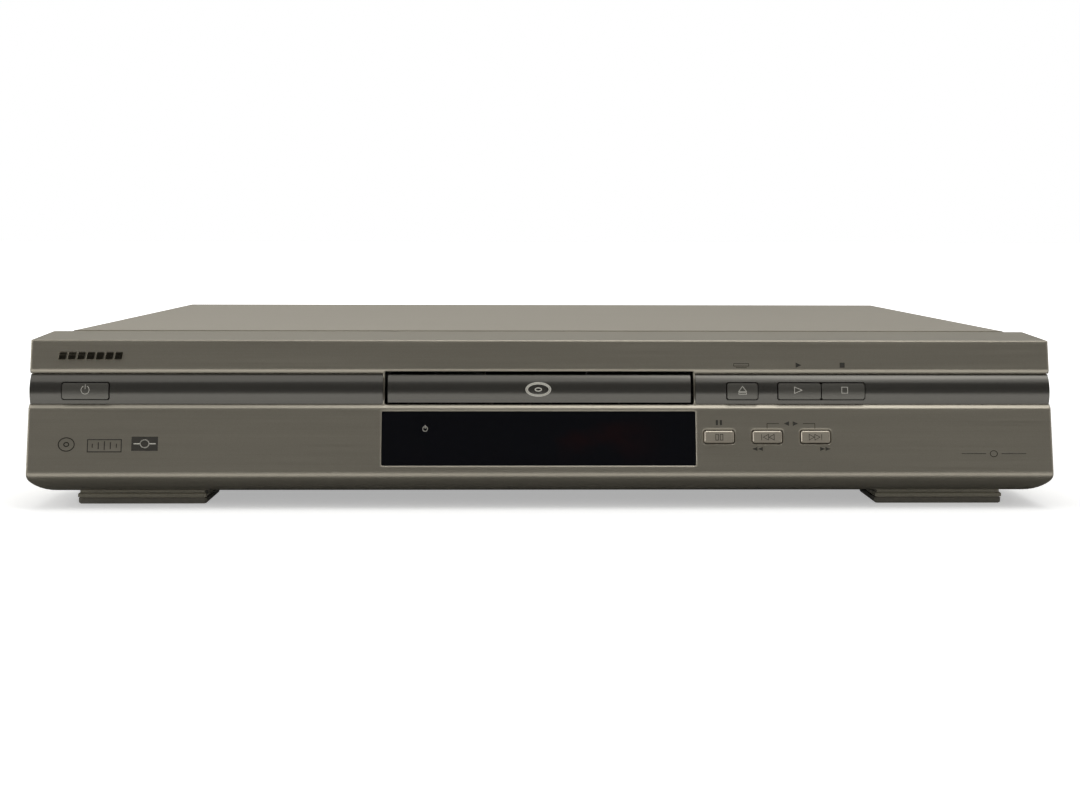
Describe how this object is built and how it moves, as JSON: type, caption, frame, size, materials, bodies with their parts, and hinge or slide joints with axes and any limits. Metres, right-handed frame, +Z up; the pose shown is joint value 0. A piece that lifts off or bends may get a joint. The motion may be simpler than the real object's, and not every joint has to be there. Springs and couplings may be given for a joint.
{
  "type": "disc player with tray",
  "caption": "Full-width disc player with a leaning silver front, a dark convex band, a motor-driven disc tray, push keys, display window and rear sockets.",
  "frame": {"origin": "bottom centre of the player's box, on the surface that the feet stand on", "axes": "+X to the right as seen from the front, -Y out of the front, +Z up"},
  "size_m": [0.43, 0.308, 0.072],
  "materials": {
    "silver_moulding": "champagne silver paint, satin",
    "dark_band": "dark smoke lacquer",
    "band_key": "dark smoke lacquer, lighter than the band",
    "window_pane": "polished, tinted black",
    "cover_paint": "champagne silver paint on folded sheet",
    "zinc_sheet": "zinc-plated folded sheet",
    "foot_plastic": "moulded black",
    "foot_rubber": "matt black",
    "screw_steel": "zinc-plated steel",
    "circuit_board": "green solder mask",
    "display_glass": "clear glass over a dark display",
    "black_component": "moulded black",
    "lamp_red": "clear red",
    "loader_plastic": "moulded black",
    "tray_plastic": "fine-grained moulded dark grey",
    "gear_plastic": "natural acetal",
    "motor_can": "plated steel can",
    "rail_steel": "ground and polished",
    "pickup_casting": "die-cast, tumbled",
    "lens_glass": "clear lens in its holder",
    "heatsink_aluminium": "mill finish",
    "transformer_core": "ferrite with a taped winding",
    "capacitor_sleeve": "shrunk sleeve",
    "socket_nickel": "nickel plate",
    "ribbon_film": "flat film cable"
  },
  "bodies": {
    "housing": {"av_jack_block": "black_component", "band_left": "dark_band", "band_right": "dark_band", "case_screws": "screw_steel", "chassis_base": "zinc_sheet", "clamper_bridge": "zinc_sheet", "decoder_chips": "black_component", "decoder_heatsink": "heatsink_aluminium", "display_tube": "display_glass", "display_window": "window_pane", "drive_belt": "foot_rubber", "foot_pads": "foot_rubber", "front_bezel": "silver_moulding", "front_board": "circuit_board", "front_feet": "foot_plastic", "front_ribbon": "ribbon_film", "inner_screws": "screw_steel", "key_board": "circuit_board", "loader_frame": "loader_plastic", "loading_motor": "motor_can", "main_board": "circuit_board", "optical_jack": "black_component", "pivot_bushes": "foot_rubber", "power_board": "circuit_board", "power_capacitors": "capacitor_sleeve", "power_heatsink": "heatsink_aluminium", "power_inlet": "black_component", "rear_feet": "foot_plastic", "rear_panel": "zinc_sheet", "remote_receiver": "black_component", "s_video_jack": "black_component", "socket_metal": "socket_nickel", "standby_lamp": "lamp_red", "tact_switches": "black_component", "top_cover": "cover_paint", "transformer": "transformer_core"},
    "tray": {"disc_tray": "tray_plastic", "tray_door": "dark_band"},
    "drive_gear": {"drive_gear": "gear_plastic"},
    "pulley_gear": {"pulley_gear": "gear_plastic"},
    "motor_pulley": {"motor_pulley": "gear_plastic"},
    "cam_slider": {"cam_slider": "gear_plastic"},
    "traverse": {"traverse_chassis": "zinc_sheet", "spindle_motor": "motor_can", "guide_rails": "rail_steel", "feed_motor": "motor_can"},
    "turntable": {"turntable": "loader_plastic"},
    "pickup": {"pickup_body": "pickup_casting", "pickup_lens": "lens_glass"},
    "feed_screw": {"feed_screw": "rail_steel"},
    "clamp_disc": {"clamp_disc": "loader_plastic"},
    "power_button": {"power_button": "band_key"},
    "open_close_button": {"open_close_button": "band_key"},
    "play_button": {"play_button": "band_key"},
    "stop_button": {"stop_button": "band_key"},
    "pause_button": {"pause_button": "silver_moulding"},
    "skip_back_button": {"skip_back_button": "silver_moulding"},
    "skip_forward_button": {"skip_forward_button": "silver_moulding"}
  },
  "joints": [
    {"name": "tray_slide", "type": "slide", "parent": "housing", "child": "tray", "axis": [0, -1, 0], "range_m": [0, 0.132]},
    {"name": "drive_gear_spin", "type": "hinge", "parent": "housing", "child": "drive_gear", "pos_m": [-0.0474, -0.1045, 0.037], "axis": [0, 0, 1], "range_deg": [0, 841]},
    {"name": "pulley_gear_spin", "type": "hinge", "parent": "housing", "child": "pulley_gear", "pos_m": [-0.02692, -0.10915, 0.037], "axis": [0, 0, 1], "range_deg": [-2690, 0]},
    {"name": "motor_pulley_spin", "type": "hinge", "parent": "housing", "child": "motor_pulley", "pos_m": [0.008, -0.10915, 0.031], "axis": [0, 0, 1], "range_deg": [-8146, 0]},
    {"name": "traverse_lift", "type": "hinge", "parent": "housing", "child": "traverse", "pos_m": [-0.0014, 0.029, 0.032], "axis": [-1, 0, 0], "range_deg": [0, 4.11]},
    {"name": "cam_slide", "type": "slide", "parent": "housing", "child": "cam_slider", "axis": [1, 0, 0], "range_m": [0, 0.02001]},
    {"name": "turntable_spin", "type": "hinge", "parent": "traverse", "child": "turntable", "pos_m": [-0.0014, -0.07661, 0.04646], "axis": [0, -0.0717, 0.9974], "continuous": true},
    {"name": "pickup_slide", "type": "slide", "parent": "traverse", "child": "pickup", "axis": [0, 0.9974, 0.0717], "range_m": [0, 0.036]},
    {"name": "feed_screw_spin", "type": "hinge", "parent": "traverse", "child": "feed_screw", "pos_m": [0.0336, -0.06845, 0.03482], "axis": [0, 0.9974, 0.0717], "range_deg": [0, 4321]},
    {"name": "clamp_spin", "type": "hinge", "parent": "housing", "child": "clamp_disc", "pos_m": [-0.0014, -0.0753, 0.0552], "axis": [0, 0, 1], "continuous": true},
    {"name": "power_press", "type": "slide", "parent": "housing", "child": "power_button", "axis": [0, 1, 0], "range_m": [0, 0.0008], "stiffness_N_per_m": 600},
    {"name": "open_close_press", "type": "slide", "parent": "housing", "child": "open_close_button", "axis": [0, 1, 0], "range_m": [0, 0.0008], "stiffness_N_per_m": 600},
    {"name": "play_press", "type": "slide", "parent": "housing", "child": "play_button", "axis": [0, 1, 0], "range_m": [0, 0.0008], "stiffness_N_per_m": 600},
    {"name": "stop_press", "type": "slide", "parent": "housing", "child": "stop_button", "axis": [0, 1, 0], "range_m": [0, 0.0008], "stiffness_N_per_m": 600},
    {"name": "pause_press", "type": "slide", "parent": "housing", "child": "pause_button", "axis": [0, 1, 0], "range_m": [0, 0.0008], "stiffness_N_per_m": 600},
    {"name": "skip_back_press", "type": "slide", "parent": "housing", "child": "skip_back_button", "axis": [0, 1, 0], "range_m": [0, 0.0008], "stiffness_N_per_m": 600},
    {"name": "skip_forward_press", "type": "slide", "parent": "housing", "child": "skip_forward_button", "axis": [0, 1, 0], "range_m": [0, 0.0008], "stiffness_N_per_m": 600}
  ],
  "couplings": [
    {"joint": "drive_gear_spin", "follows": "tray_slide", "rad_per_m": 111.11},
    {"joint": "pulley_gear_spin", "follows": "tray_slide", "rad_per_m": -355.56},
    {"joint": "motor_pulley_spin", "follows": "tray_slide", "rad_per_m": -1077},
    {"joint": "cam_slide", "follows": "traverse_lift", "m_per_rad": 0.27861},
    {"joint": "feed_screw_spin", "follows": "pickup_slide", "rad_per_m": 2094.4}
  ]
}
